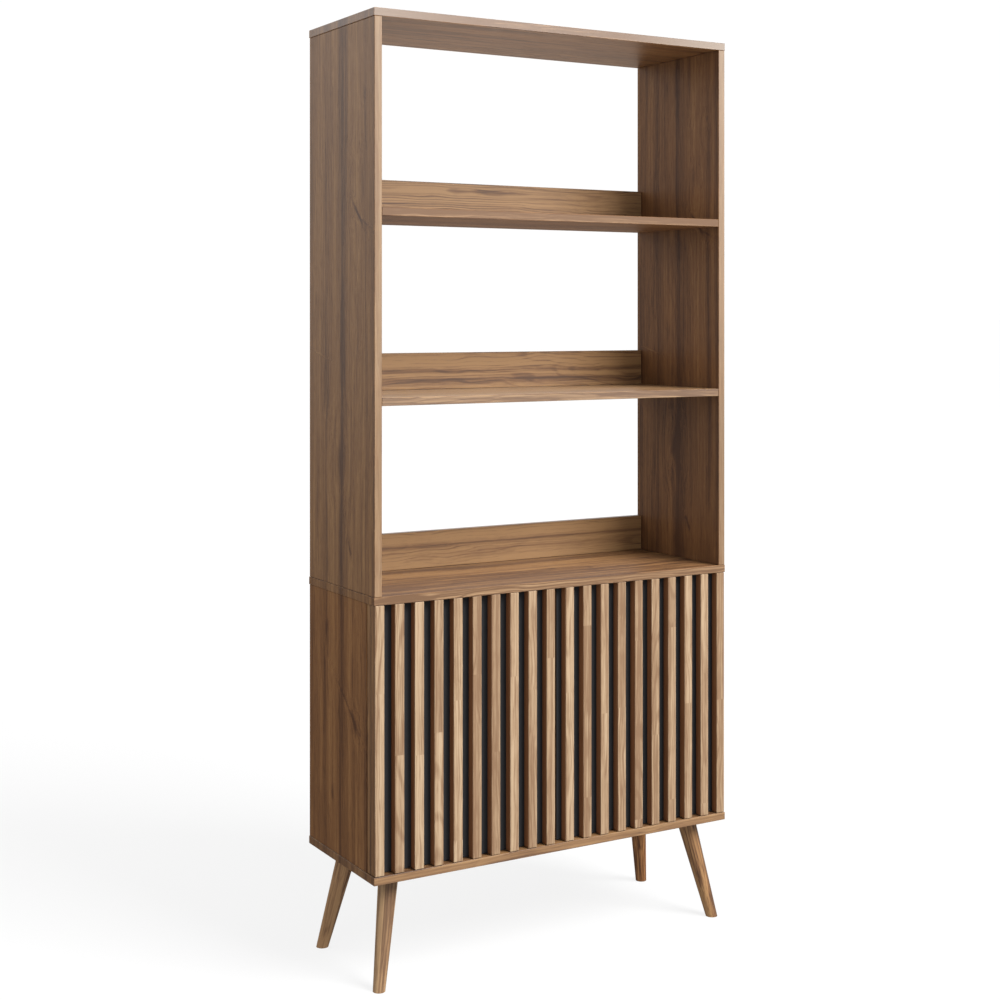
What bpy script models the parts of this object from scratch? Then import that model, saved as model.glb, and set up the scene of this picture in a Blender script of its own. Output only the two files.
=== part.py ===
"""Bookcase: an open rack of three bays over a cabinet with two slatted doors, on four splayed legs.

Lengths are in metres and +Z is up. The origin is on the floor under the middle of the carcass,
and the front faces -Y. Left and right are as seen from the front.
"""

import math

import bmesh
import bpy
from mathutils import Matrix, Vector

# Carcass
WIDTH = 0.800                # the full-width boards, end to end
DEPTH = 0.290                # the full-depth boards, front to back
HEIGHT = 1.794               # from the floor to the top board's upper face
BOARD = 0.015                # thickness of every carcass board
SIDE_INSET = 0.001           # a side's outer face, inside the ends of the full-width boards
BACK_INSET = 0.001           # a side's back edge, in front of the back edges of the full-depth boards
CABINET_CLEAR = 0.493        # between the cabinet's bottom and top boards
BAY_MIDDLE_CLEAR = 0.332     # the low and high bays share what is left of the height
RAIL_HEIGHT = 0.074
RAIL_THICKNESS = 0.015
BOARD_EDGE = 0.0006          # the eased edge of a laminated board
SEAM = 0.0003                # gap between faces that touch

# Back board of the cabinet, in grooves
BACK_THICKNESS = 0.003
BACK_EDGE = 0.0003
BACK_SETBACK = 0.012         # from the sides' back edges to the board's rear face
GROOVE_DEPTH = 0.006
GROOVE_CLEARANCE = 0.0003

# Shelf inside the cabinet, on pegs
INNER_SHELF_HEIGHT = 0.239   # from the cabinet's floor to the shelf's underside
INNER_SHELF_SETBACK = 0.045  # from the sides' front edges
INNER_SHELF_CLEARANCE = 0.001
PEG_RADIUS = 0.0025
PEG_LENGTH = 0.009
PEG_INSET = 0.035            # from the shelf's front and back edges

# Doors
SLAT_WIDTH = 0.019
SLAT_DEPTH = 0.017
SLATS_PER_DOOR = 10
SLAT_EDGE = 0.0008
DOOR_BOARD = 0.015
DOOR_INSET = 0.002           # a door's outer edge, inside the ends of the full-width boards
DOOR_MEETING_GAP = 0.003     # between the two doors
DOOR_TOP_GAP = 0.0005
DOOR_BOTTOM_GAP = 0.001
DOOR_BACK_CLEARANCE = 0.0016  # from a door's back face to the sides' front edges

# Legs
LEG_HEIGHT = 0.200           # from the floor to the cabinet's underside
LEG_INSET = 0.0585           # a leg's axis at the cabinet's underside, from the bottom board's edges
LEG_LEAN = math.radians(15.4)  # from upright, towards the corner
LEG_TOP_RADIUS = 0.0187
LEG_FOOT_RADIUS = 0.0115
LEG_ROUND = 0.0012
PLATE_SIZE = 0.058
PLATE_THICKNESS = 0.0025
PLATE_EDGE = 0.0006
PLATE_BOSS_RADIUS = 0.0205
PLATE_BOSS_DROP = 0.0100     # from the cabinet's underside to the boss's seat, along the leg's axis
STUD_RADIUS = 0.004
STUD_LENGTH = 0.020
STUD_CLEARANCE = 0.0004

# Concealed hinges, drawn in plan for the left door: x runs inward from the side's outer face,
# y runs back from the door's back face
HINGE_FROM_END = 0.090       # a hinge's middle, from the door's upper or lower end
LINK_ARM_PIVOT = Vector((0.0293, 0.0190))
LINK_CUP_PIVOT = Vector((0.0090, -0.0032))
LINK_KNEE = Vector((0.0170, -0.0060))
REAR_ARM_PIVOT = Vector((0.0320, 0.0042))
REAR_CUP_PIVOT = Vector((0.0111, -0.0087))
REAR_KNEE = Vector((0.0260, -0.0086))
DOOR_SWING = math.radians(95)
LINK_SHARE = -0.260          # a link's turn for each unit of the door's turn
REAR_SHARE = -0.136
CUP_CENTRE = 0.0215
CUP_RADIUS = 0.0172
CUP_WALL = 0.0009
CUP_DEPTH = 0.0120
CUP_CLEARANCE = 0.0003
FLANGE_THICKNESS = 0.001
FLANGE_RADIUS = 0.0062
FLANGE_REACH = 0.022         # from the hinge's middle to a flange screw
FLANGE_OFFSET = 0.0055       # the flange's middle, further in than the cup's
PIN_RADIUS = 0.0010
PIN_CLEARANCE = 0.0003
STRAP_HALF = 0.0019          # half the breadth of a link
LINK_LOW = 0.0004            # a link's near and far faces, from the hinge's middle
LINK_HIGH = 0.0048
CHEEK_LOW = 0.0053
CHEEK_HIGH = 0.0066
ARM_NOSE_RADIUS = 0.0030
ARM_NECK_RADIUS = 0.0040
ARM_BODY_RADIUS = 0.0100
ARM_LENGTH = 0.060           # from the door's back face to the arm's rear disc
ARM_SHOULDER = 0.036         # from the door's back face to the arm's front disc
ARM_RISE = 0.0110            # from the side's inner face to the middle of the arm's body
ROOF_THICKNESS = 0.0014
MOUNT_THICKNESS = 0.0025
MOUNT_LENGTH = 0.030
MOUNT_HALF_WIDTH = 0.0085
MOUNT_CENTRE = 0.037         # from the side's front edge to the mounting screws
WING_HALF_SPAN = 0.0225
WING_LENGTH = 0.013

# Heights of the boards' undersides
CABINET_FLOOR = LEG_HEIGHT
CABINET_ROOF = CABINET_FLOOR + BOARD + CABINET_CLEAR
TOP = HEIGHT - BOARD
BAY_CLEAR = (TOP - CABINET_ROOF - BOARD * 3 - BAY_MIDDLE_CLEAR) / 2
SHELF_LOW = CABINET_ROOF + BOARD + BAY_CLEAR
SHELF_HIGH = SHELF_LOW + BOARD + BAY_MIDDLE_CLEAR

# Planes that several pieces share
FRONT = -DEPTH / 2
BACK = DEPTH / 2
CARCASS_BACK = BACK - BACK_INSET
SIDE_OUTER = WIDTH / 2 - SIDE_INSET
SIDE_INNER = SIDE_OUTER - BOARD
DOOR_FRONT = FRONT + SLAT_DEPTH + SEAM
DOOR_BACK = DOOR_FRONT + DOOR_BOARD
CABINET_SIDE_FRONT = DOOR_BACK + DOOR_BACK_CLEARANCE
DOOR_OUTER = WIDTH / 2 - DOOR_INSET
DOOR_INNER = DOOR_MEETING_GAP / 2
DOOR_LOW = CABINET_FLOOR + BOARD + DOOR_BOTTOM_GAP
DOOR_HIGH = CABINET_ROOF - DOOR_TOP_GAP
BACK_BOARD_FRONT = CARCASS_BACK - BACK_SETBACK - BACK_THICKNESS

LEFT, RIGHT = -1, 1
BELOW, ABOVE = -1, 1
ROUND_STEPS = 32
SMALL_ROUND_STEPS = 16
PIN_STEPS = 12
ARC_STEP = math.radians(24)
SHARP_ANGLE = math.radians(35)
SWING_SAMPLES = 20


def make_material(name, color, roughness, metallic=0.0):
    material = bpy.data.materials.new(name)
    material.use_nodes = True
    shader = material.node_tree.nodes["Principled BSDF"]
    shader.inputs["Base Color"].default_value = (*color, 1.0)
    shader.inputs["Roughness"].default_value = roughness
    shader.inputs["Metallic"].default_value = metallic
    material.diffuse_color = (*color, 1.0)
    return material


def place(name, mesh, material, collection, location=(0, 0, 0)):
    obj = bpy.data.objects.new(name, mesh)
    obj.location = location
    collection.objects.link(obj)
    if not mesh.materials:
        mesh.materials.append(material)
    return obj


def guide(name, mesh, location=(0, 0, 0)):
    """A piece that only cuts or joins others."""
    obj = bpy.data.objects.new(name, mesh)
    obj.location = location
    obj.hide_render = True
    obj.display_type = "WIRE"
    guides.objects.link(obj)
    return obj


def add_boolean(obj, tool, operation):
    modifier = obj.modifiers.new(f"{operation.lower()} {tool.name}", "BOOLEAN")
    modifier.operation = operation
    modifier.object = tool


def add_bevel(obj, width, segments=1):
    bevel = obj.modifiers.new("eased edges", "BEVEL")
    bevel.width = width
    bevel.segments = segments
    bevel.limit_method = "ANGLE"
    bevel.angle_limit = SHARP_ANGLE


def box_mesh(name, size):
    mesh = bpy.data.meshes.new(name)
    shape = bmesh.new()
    bmesh.ops.create_cube(shape, size=1.0)
    bmesh.ops.scale(shape, vec=size, verts=shape.verts)
    shape.to_mesh(mesh)
    shape.free()
    return mesh


def middle_and_size(low, high):
    low, high = Vector(low), Vector(high)
    return (low + high) / 2, high - low


def board(name, low, high, material, edge=BOARD_EDGE):
    """A board between two corners, its edges eased."""
    middle, size = middle_and_size(low, high)
    obj = place(name, box_mesh(name, size), material, bookcase, middle)
    add_bevel(obj, edge)
    return obj


def box_guide(name, low, high):
    middle, size = middle_and_size(low, high)
    return guide(name, box_mesh(name, size), middle)


def rod_mesh(name, radius_low, radius_high, length, steps=ROUND_STEPS):
    """A cone or cylinder along Z from 0 to its length."""
    mesh = bpy.data.meshes.new(name)
    shape = bmesh.new()
    bmesh.ops.create_cone(shape, cap_ends=True, segments=steps, radius1=radius_low, radius2=radius_high,
                          depth=length)
    bmesh.ops.translate(shape, vec=(0, 0, length / 2), verts=shape.verts)
    shape.to_mesh(mesh)
    shape.free()
    return mesh


def round_shading(mesh):
    mesh.shade_smooth()
    mesh.set_sharp_from_angle(angle=SHARP_ANGLE)


def turned(angle):
    """The matrix that turns a point of the plan clockwise, the way the left door opens."""
    return Matrix.Rotation(-angle, 2)


def carcass():
    across = WIDTH / 2
    inner = SIDE_INNER - SEAM
    full_boards = {"cabinet_bottom": CABINET_FLOOR, "cabinet_top": CABINET_ROOF, "upper_top": TOP}
    boards = {
        name: board(name, (-across, FRONT, z), (across, BACK, z + BOARD), walnut)
        for name, z in full_boards.items()
    }
    for name, z in {"upper_shelf_low": SHELF_LOW, "upper_shelf_high": SHELF_HIGH}.items():
        board(name, (-inner, FRONT, z), (inner, CARCASS_BACK, z + BOARD), walnut)
    rails = {"back_rail_low": CABINET_ROOF, "back_rail_middle": SHELF_LOW, "back_rail_high": SHELF_HIGH}
    for name, z in rails.items():
        foot = z + BOARD + SEAM
        board(
            name,
            (-inner, CARCASS_BACK - RAIL_THICKNESS, foot),
            (inner, CARCASS_BACK, foot + RAIL_HEIGHT),
            walnut,
        )
    for name, hand in {"left": LEFT, "right": RIGHT}.items():
        near, far = sorted((hand * SIDE_INNER, hand * SIDE_OUTER))
        board(
            f"upper_side_{name}",
            (near, FRONT, CABINET_ROOF + BOARD + SEAM),
            (far, CARCASS_BACK, TOP - SEAM),
            walnut,
        )
        boards[name] = board(
            f"cabinet_side_{name}",
            (near, CABINET_SIDE_FRONT, CABINET_FLOOR + BOARD + SEAM),
            (far, CARCASS_BACK, CABINET_ROOF - SEAM),
            walnut,
        )
    back_board([boards[name] for name in ("left", "right", "cabinet_bottom", "cabinet_top")])
    inner_shelf(boards)


def back_board(grooved):
    """The cabinet's thin back, held in a groove on all four sides."""
    across = SIDE_INNER + GROOVE_DEPTH
    low = CABINET_FLOOR + BOARD - GROOVE_DEPTH
    high = CABINET_ROOF + GROOVE_DEPTH
    front, rear = BACK_BOARD_FRONT, BACK_BOARD_FRONT + BACK_THICKNESS
    groove = box_guide(
        "back_groove",
        (-across, front - GROOVE_CLEARANCE, low),
        (across, rear + GROOVE_CLEARANCE, high),
    )
    for obj in grooved:
        add_boolean(obj, groove, "DIFFERENCE")
    end = across - GROOVE_CLEARANCE
    board(
        "cabinet_back",
        (-end, front, low + GROOVE_CLEARANCE),
        (end, rear, high - GROOVE_CLEARANCE),
        walnut,
        BACK_EDGE,
    )


def inner_shelf(boards):
    """The shelf behind the doors, with the pegs that carry it on the cabinet's sides."""
    underside = CABINET_FLOOR + BOARD + INNER_SHELF_HEIGHT
    front = CABINET_SIDE_FRONT + INNER_SHELF_SETBACK
    rear = BACK_BOARD_FRONT - INNER_SHELF_CLEARANCE
    half = SIDE_INNER - INNER_SHELF_CLEARANCE
    board("inner_shelf", (-half, front, underside), (half, rear, underside + BOARD), walnut)
    for name, hand in {"left": LEFT, "right": RIGHT}.items():
        for place_name, y in {"front": front + PEG_INSET, "back": rear - PEG_INSET}.items():
            root = BOARD / 2
            peg = guide(
                f"peg_{place_name}_{name}",
                rod_mesh("peg", PEG_RADIUS, PEG_RADIUS, PEG_LENGTH + root, PIN_STEPS),
                (hand * (SIDE_INNER + root), y, underside - SEAM - PEG_RADIUS),
            )
            peg.rotation_euler.y = -hand * math.pi / 2
            add_boolean(boards[name], peg, "UNION")


def doors():
    """Two boards faced with slats. The first slat is flush with the outer edge of its door."""
    width = DOOR_OUTER - DOOR_INNER
    pitch = (width - SLAT_WIDTH / 2) / (SLATS_PER_DOOR - 0.5)
    for name, hand in {"left": LEFT, "right": RIGHT}.items():
        near, far = sorted((hand * DOOR_INNER, hand * DOOR_OUTER))
        door = board(
            f"door_board_{name}",
            (near, DOOR_FRONT, DOOR_LOW),
            (far, DOOR_BACK, DOOR_HIGH),
            backing,
        )
        axis = plan_point(LINK_CUP_PIVOT, hand, (DOOR_LOW + DOOR_HIGH) / 2)
        carrier = empty(f"{name}_door_axis", axis)
        hang(door, carrier)
        for height in hinge_heights():
            bottom = -CUP_DEPTH - CUP_CLEARANCE
            bore = cup_cylinder("pocket", CUP_RADIUS + CUP_CLEARANCE, bottom, BOARD)
            pocket = guide(f"cup_pocket_{name}", bore)
            pocket.matrix_world = plan_matrix(hand, height)
            add_boolean(door, pocket, "DIFFERENCE")
        for index in range(SLATS_PER_DOOR):
            outer = DOOR_OUTER - index * pitch
            near, far = sorted((hand * (outer - SLAT_WIDTH), hand * outer))
            slat = board(
                f"slat_{name}_{index + 1:02d}",
                (near, FRONT, DOOR_LOW),
                (far, FRONT + SLAT_DEPTH, DOOR_HIGH),
                slat_wood,
                SLAT_EDGE,
            )
            hang(slat, carrier)


def legs():
    """Round tapered legs that lean towards the corners, each on an angled plate with a stud."""
    underside = CABINET_FLOOR - SEAM
    floor = box_guide("floor_cut", (-WIDTH, -WIDTH, -LEG_HEIGHT), (WIDTH, WIDTH, 0))
    ceiling = box_guide(
        "underside_cut",
        (-WIDTH, -WIDTH, underside),
        (WIDTH, WIDTH, CABINET_FLOOR + LEG_HEIGHT),
    )
    for row, y_hand in {"front": LEFT, "back": RIGHT}.items():
        for name, x_hand in {"left": LEFT, "right": RIGHT}.items():
            top = Vector((
                x_hand * (WIDTH / 2 - LEG_INSET),
                y_hand * (DEPTH / 2 - LEG_INSET),
                CABINET_FLOOR,
            ))
            outward = Vector((x_hand, y_hand, 0)).normalized()
            axis = outward * math.sin(LEG_LEAN) - Vector((0, 0, math.cos(LEG_LEAN)))
            leg(f"{row}_{name}", top, axis, floor)
            leg_plate(f"{row}_{name}", top, axis, ceiling)


def lean(obj, axis):
    """Turns an object drawn along Z so that it points along an axis."""
    obj.rotation_mode = "QUATERNION"
    obj.rotation_quaternion = axis.to_track_quat("Z", "Y")


def leg(name, top, axis, floor):
    """A tapered leg, cut flat at the floor and bored for its stud."""
    seat = PLATE_BOSS_DROP + SEAM
    length = LEG_HEIGHT / math.cos(LEG_LEAN) - seat
    overrun = LEG_FOOT_RADIUS * math.tan(LEG_LEAN) + BOARD
    taper = (LEG_TOP_RADIUS - LEG_FOOT_RADIUS) / length
    mesh = rod_mesh("leg", LEG_TOP_RADIUS, LEG_FOOT_RADIUS - taper * overrun, length + overrun)
    round_shading(mesh)
    obj = place(f"leg_{name}", mesh, leg_wood, bookcase, top + axis * seat)
    lean(obj, axis)
    add_bevel(obj, LEG_ROUND, 2)
    add_boolean(obj, floor, "DIFFERENCE")
    bore_radius = STUD_RADIUS + STUD_CLEARANCE
    bore_length = STUD_LENGTH + STUD_CLEARANCE + BOARD
    bore = guide(
        f"stud_bore_{name}",
        rod_mesh("bore", bore_radius, bore_radius, bore_length, SMALL_ROUND_STEPS),
        top + axis * (seat - BOARD),
    )
    lean(bore, axis)
    add_boolean(obj, bore, "DIFFERENCE")


def leg_plate(name, top, axis, ceiling):
    """The square plate screwed under the cabinet, with the slanted boss and the stud of its leg."""
    size = (PLATE_SIZE, PLATE_SIZE, PLATE_THICKNESS)
    middle = (top.x, top.y, CABINET_FLOOR - SEAM - PLATE_THICKNESS / 2)
    plate = place(f"leg_plate_{name}", box_mesh("plate", size), steel, bookcase, middle)
    add_bevel(plate, PLATE_EDGE)
    overrun = PLATE_BOSS_DROP
    root = top - axis * overrun
    drop = PLATE_BOSS_DROP + overrun
    shapes = {
        "boss": rod_mesh("boss", PLATE_BOSS_RADIUS, PLATE_BOSS_RADIUS, drop),
        "stud": rod_mesh("stud", STUD_RADIUS, STUD_RADIUS, drop + STUD_LENGTH, SMALL_ROUND_STEPS),
    }
    for kind, mesh in shapes.items():
        tool = guide(f"{kind}_{name}", mesh, root)
        lean(tool, axis)
        add_boolean(plate, tool, "UNION")
    add_boolean(plate, ceiling, "DIFFERENCE")


def hinge_heights():
    return (DOOR_LOW + HINGE_FROM_END, DOOR_HIGH - HINGE_FROM_END)


def plan_point(point, hand, height):
    """Where a point of the hinge's plan is on the bookcase."""
    return Vector((hand * (SIDE_OUTER - point.x), DOOR_BACK + point.y, height))


def plan_matrix(hand, height):
    """Moves a piece drawn in the left hinge's plan to its place, mirrored for the right."""
    mirror = Matrix.Diagonal((-hand, 1, 1, 1))
    return Matrix.Translation((hand * SIDE_OUTER, DOOR_BACK, height)) @ mirror


def empty(name, location):
    obj = bpy.data.objects.new(name, None)
    obj.location = location
    obj.empty_display_size = BOARD
    bookcase.objects.link(obj)
    return obj


def hang(obj, carrier):
    """Parents an object and leaves it where it is."""
    obj.parent = carrier
    obj.matrix_parent_inverse = Matrix.Translation(-carrier.location)


def outline_side(chain, step):
    """One side of the outline round a chain of discs, with the arc round its last disc."""
    tangents = []
    for (start, start_radius), (end, end_radius) in zip(chain, chain[1:]):
        run = end - start
        bearing = math.atan2(run.y, run.x)
        tangents.append((bearing, math.acos((start_radius - end_radius) / run.length)))

    def on_disc(index, angle):
        middle, radius = chain[index]
        return middle + radius * Vector((math.cos(angle), math.sin(angle)))

    def arc(index, first, last):
        count = max(1, math.ceil((first - last) / step))
        return [on_disc(index, first + (last - first) * k / count) for k in range(count + 1)]

    angle = tangents[0][0] + tangents[0][1]
    points = [on_disc(0, angle)]
    for index in range(1, len(chain) - 1):
        following = tangents[index][0] + tangents[index][1]
        bend = (following - angle + math.pi) % (2 * math.pi) - math.pi
        if bend <= 0:
            points += arc(index, angle, angle + bend)
        else:
            middle, radius = chain[index]
            mitre = angle + bend / 2
            points.append(middle + radius / math.cos(bend / 2) * Vector((math.cos(mitre), math.sin(mitre))))
        angle = following
    bearing, half = tangents[-1]
    points += arc(len(chain) - 1, bearing + half, bearing - half)[:-1]
    return points


def outline(chain, step=ARC_STEP):
    """The outline round a chain of discs (middle, radius), each joined to the next by its tangents."""
    return outline_side(chain, step) + outline_side(chain[::-1], step)


def circle(middle, radius, count=SMALL_ROUND_STEPS):
    turn = 2 * math.pi / count
    return [middle + radius * Vector((math.cos(k * turn), math.sin(k * turn))) for k in range(count)]


def extruded(name, outlines, low, high):
    """A mesh with the given outlines, holes included, between two heights."""
    curve = bpy.data.curves.new(name, "CURVE")
    curve.dimensions = "2D"
    curve.fill_mode = "BOTH"
    curve.extrude = (high - low) / 2
    for points in outlines:
        spline = curve.splines.new("POLY")
        spline.points.add(len(points) - 1)
        for target, point in zip(spline.points, points):
            target.co = (point.x, point.y, 0, 1)
        spline.use_cyclic_u = True
    return baked(guide(name, curve, (0, 0, (low + high) / 2)))


def baked(obj):
    """The mesh of an object as it stands, welded, in place of the object."""
    bpy.context.view_layer.update()
    evaluated = obj.evaluated_get(bpy.context.evaluated_depsgraph_get())
    mesh = bpy.data.meshes.new_from_object(evaluated)
    mesh.transform(obj.matrix_world)
    shape = bmesh.new()
    shape.from_mesh(mesh)
    bmesh.ops.remove_doubles(shape, verts=shape.verts, dist=0.000001)
    bmesh.ops.recalc_face_normals(shape, faces=shape.faces)
    shape.to_mesh(mesh)
    shape.free()
    bpy.data.objects.remove(obj, do_unlink=True)
    return mesh


def combined(name, base, joined=(), removed=()):
    """One mesh from a base, the meshes joined to it and then the meshes cut from it."""
    body = guide(name, base)
    tools = []
    for operation, meshes in (("UNION", joined), ("DIFFERENCE", removed)):
        for mesh in meshes:
            tool = guide(f"{name}_tool", mesh)
            tools.append(tool)
            add_boolean(body, tool, operation)
    mesh = baked(body)
    for tool in tools:
        bpy.data.objects.remove(tool, do_unlink=True)
    round_shading(mesh)
    return mesh


def block(low, high):
    middle, size = middle_and_size(low, high)
    mesh = box_mesh("block", size)
    mesh.transform(Matrix.Translation(middle))
    return mesh


def pin(point, low, high):
    mesh = rod_mesh("pin", PIN_RADIUS, PIN_RADIUS, high - low, PIN_STEPS)
    mesh.transform(Matrix.Translation((point.x, point.y, low)))
    return mesh


def cup_cylinder(name, radius, low, high):
    """A cylinder on the cup's axis, which runs front to back, between two depths of the plan."""
    mesh = rod_mesh(name, radius, radius, high - low)
    mesh.transform(Matrix.Rotation(-math.pi / 2, 4, "X"))
    mesh.transform(Matrix.Translation((CUP_CENTRE, low, 0)))
    return mesh


def cup_mesh():
    """The cup with its flange, and the two pins that stand in from its wall."""
    inside = CUP_RADIUS - CUP_WALL
    flange_low = SEAM
    flange_high = flange_low + FLANGE_THICKNESS
    rim = (flange_low + flange_high) / 2
    flange_middle = CUP_CENTRE + FLANGE_OFFSET
    flange = extruded(
        "flange",
        [outline([(Vector((flange_middle, -FLANGE_REACH)), FLANGE_RADIUS),
                  (Vector((flange_middle, FLANGE_REACH)), FLANGE_RADIUS)])],
        -flange_high,
        -flange_low,
    )
    flange.transform(Matrix.Rotation(math.pi / 2, 4, "X"))
    shell = combined(
        "cup_shell",
        cup_cylinder("cup", CUP_RADIUS, -CUP_DEPTH, rim),
        joined=[flange],
        removed=[
            cup_cylinder("hollow", inside, CUP_WALL - CUP_DEPTH, BOARD),
            block((-BOARD, -SEAM, -BOARD * 2), (BOARD + DOOR_BACK_CLEARANCE, BOARD, BOARD * 2)),
        ],
    )
    wall = CUP_RADIUS - CUP_WALL / 2
    pins = []
    for pivot, side in ((LINK_CUP_PIVOT, ABOVE), (REAR_CUP_PIVOT, BELOW)):
        reach = math.sqrt(wall ** 2 - (CUP_CENTRE - pivot.x) ** 2)
        low, high = sorted((side * LINK_LOW, side * reach))
        pins.append(pin(pivot, low, high))
    return combined("hinge_cup", shell, joined=pins)


def arm_mesh():
    """The arm on its mounting plate: a channel with two cheeks, each with a pin at the nose."""
    inner_face = BOARD
    mount_low = inner_face + SEAM
    mount_high = mount_low + MOUNT_THICKNESS
    centre = DOOR_BACK_CLEARANCE + MOUNT_CENTRE
    body_x = inner_face + ARM_RISE
    profile = outline([
        (REAR_ARM_PIVOT, ARM_NOSE_RADIUS),
        (LINK_ARM_PIVOT, ARM_NECK_RADIUS),
        (Vector((body_x, ARM_SHOULDER)), ARM_BODY_RADIUS),
        (Vector((body_x, ARM_LENGTH)), ARM_BODY_RADIUS),
    ])
    roof = body_x + ARM_BODY_RADIUS - ROOF_THICKNESS
    half_pin = (CHEEK_LOW + CHEEK_HIGH) / 2
    return combined(
        "hinge_arm",
        block((mount_low, centre - MOUNT_LENGTH / 2, -MOUNT_HALF_WIDTH),
              (mount_high, centre + MOUNT_LENGTH / 2, MOUNT_HALF_WIDTH)),
        joined=[
            block((mount_low + SEAM, centre - WING_LENGTH / 2, -WING_HALF_SPAN),
                  (mount_high - SEAM, centre + WING_LENGTH / 2, WING_HALF_SPAN)),
            extruded("cheek_above", [profile], CHEEK_LOW, CHEEK_HIGH),
            extruded("cheek_below", [profile], -CHEEK_HIGH, -CHEEK_LOW),
            block((roof - ROOF_THICKNESS, ARM_SHOULDER, -half_pin), (roof, ARM_LENGTH, half_pin)),
            pin(LINK_ARM_PIVOT, LINK_LOW, half_pin),
            pin(REAR_ARM_PIVOT, -half_pin, -LINK_LOW),
        ],
    )


def rear_slot():
    """The slot in which the rear link takes its arm pin: its middle, its half length and its radius.

    The pin's place in the link's own frame is followed while the door opens.
    """
    along = (REAR_ARM_PIVOT - REAR_CUP_PIVOT).normalized()
    across = Vector((-along.y, along.x))
    places = []
    for step in range(SWING_SAMPLES + 1):
        swing = DOOR_SWING * step / SWING_SAMPLES
        cup_pivot = LINK_ARM_PIVOT + turned(LINK_SHARE * swing) @ (LINK_CUP_PIVOT - LINK_ARM_PIVOT)
        rear_pivot = cup_pivot + turned(swing) @ (REAR_CUP_PIVOT - LINK_CUP_PIVOT)
        places.append(REAR_CUP_PIVOT + turned(-REAR_SHARE * swing) @ (REAR_ARM_PIVOT - rear_pivot))
    reach = [(place - REAR_ARM_PIVOT).dot(along) for place in places]
    drift = [(place - REAR_ARM_PIVOT).dot(across) for place in places]
    middle = (REAR_ARM_PIVOT + along * (max(reach) + min(reach)) / 2
              + across * (max(drift) + min(drift)) / 2)
    half_length = (max(reach) - min(reach)) / 2
    radius = PIN_RADIUS + PIN_CLEARANCE + (max(drift) - min(drift)) / 2
    return middle, along * half_length, radius


def link_mesh():
    """The outer link, bent round the edge of the cup."""
    hole = PIN_RADIUS + PIN_CLEARANCE
    chain = [(point, STRAP_HALF) for point in (LINK_ARM_PIVOT, LINK_KNEE, LINK_CUP_PIVOT)]
    holes = [circle(point, hole) for point in (LINK_ARM_PIVOT, LINK_CUP_PIVOT)]
    return extruded("hinge_link", [outline(chain), *holes], LINK_LOW, LINK_HIGH)


def rear_link_mesh():
    """The inner link, with a slot at its arm end."""
    middle, half, radius = rear_slot()
    eye = radius + STRAP_HALF / 2
    chain = [
        (middle + half, eye),
        (middle - half, eye),
        (REAR_KNEE, STRAP_HALF),
        (REAR_CUP_PIVOT, STRAP_HALF),
    ]
    slot = outline([(middle + half, radius), (middle - half, radius)])
    hole = circle(REAR_CUP_PIVOT, PIN_RADIUS + PIN_CLEARANCE)
    return extruded("hinge_rear_link", [outline(chain), slot, hole], -LINK_HIGH, -LINK_LOW)


def hinges():
    meshes = {
        "hinge_cup": (cup_mesh(), LINK_CUP_PIVOT),
        "hinge_arm": (arm_mesh(), None),
        "hinge_link": (link_mesh(), LINK_ARM_PIVOT),
        "hinge_rear_link": (rear_link_mesh(), REAR_CUP_PIVOT),
    }
    for kind, (mesh, pivot) in meshes.items():
        mirrored = mesh.copy()
        mirrored.transform(Matrix.Diagonal((-1, 1, 1, 1)))
        mirrored.flip_normals()
        for name, hand, shape in (("left", LEFT, mesh), ("right", RIGHT, mirrored)):
            for row, height in zip(("lower", "upper"), hinge_heights()):
                origin = (hand * SIDE_OUTER, DOOR_BACK, height)
                obj = place(f"{kind}_{row}_{name}", shape, steel, bookcase, origin)
                if pivot is not None:
                    hang(obj, empty(f"{kind}_{row}_{name}_axis", plan_point(pivot, hand, height)))


for leftover in list(bpy.data.objects):
    bpy.data.objects.remove(leftover, do_unlink=True)

bookcase = bpy.data.collections.new("bookcase")
guides = bpy.data.collections.new("guides")
for collection in (bookcase, guides):
    bpy.context.scene.collection.children.link(collection)

walnut = make_material("walnut laminate", (0.30, 0.17, 0.09), 0.45)
slat_wood = make_material("slat wood", (0.55, 0.38, 0.23), 0.5)
leg_wood = make_material("leg wood", (0.33, 0.20, 0.11), 0.5)
backing = make_material("black board", (0.02, 0.021, 0.023), 0.6)
steel = make_material("nickelled steel", (0.62, 0.61, 0.59), 0.3, 1.0)

carcass()
doors()
legs()
hinges()
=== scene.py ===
"""Looks of the bookcase: finishes, studio light, floor and the photograph's camera.

Lengths are in metres, in the frame of the CAD part: the front faces -Y and +Z is up.
"""

import math

import bpy
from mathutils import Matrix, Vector


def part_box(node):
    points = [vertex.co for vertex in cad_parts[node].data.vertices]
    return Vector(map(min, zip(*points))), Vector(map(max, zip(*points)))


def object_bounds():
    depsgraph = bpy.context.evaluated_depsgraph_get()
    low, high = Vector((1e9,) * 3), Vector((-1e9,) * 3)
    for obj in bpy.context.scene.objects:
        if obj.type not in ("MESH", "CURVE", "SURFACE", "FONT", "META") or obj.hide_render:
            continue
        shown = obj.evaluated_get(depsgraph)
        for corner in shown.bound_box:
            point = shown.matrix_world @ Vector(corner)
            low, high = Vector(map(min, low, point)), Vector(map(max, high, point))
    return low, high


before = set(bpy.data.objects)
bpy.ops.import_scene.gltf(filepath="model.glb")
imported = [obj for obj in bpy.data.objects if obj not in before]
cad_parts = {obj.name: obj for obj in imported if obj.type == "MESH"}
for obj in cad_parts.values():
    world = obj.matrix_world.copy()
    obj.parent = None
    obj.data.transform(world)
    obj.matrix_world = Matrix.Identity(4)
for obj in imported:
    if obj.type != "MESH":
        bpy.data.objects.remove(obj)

cad_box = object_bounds()

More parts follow.
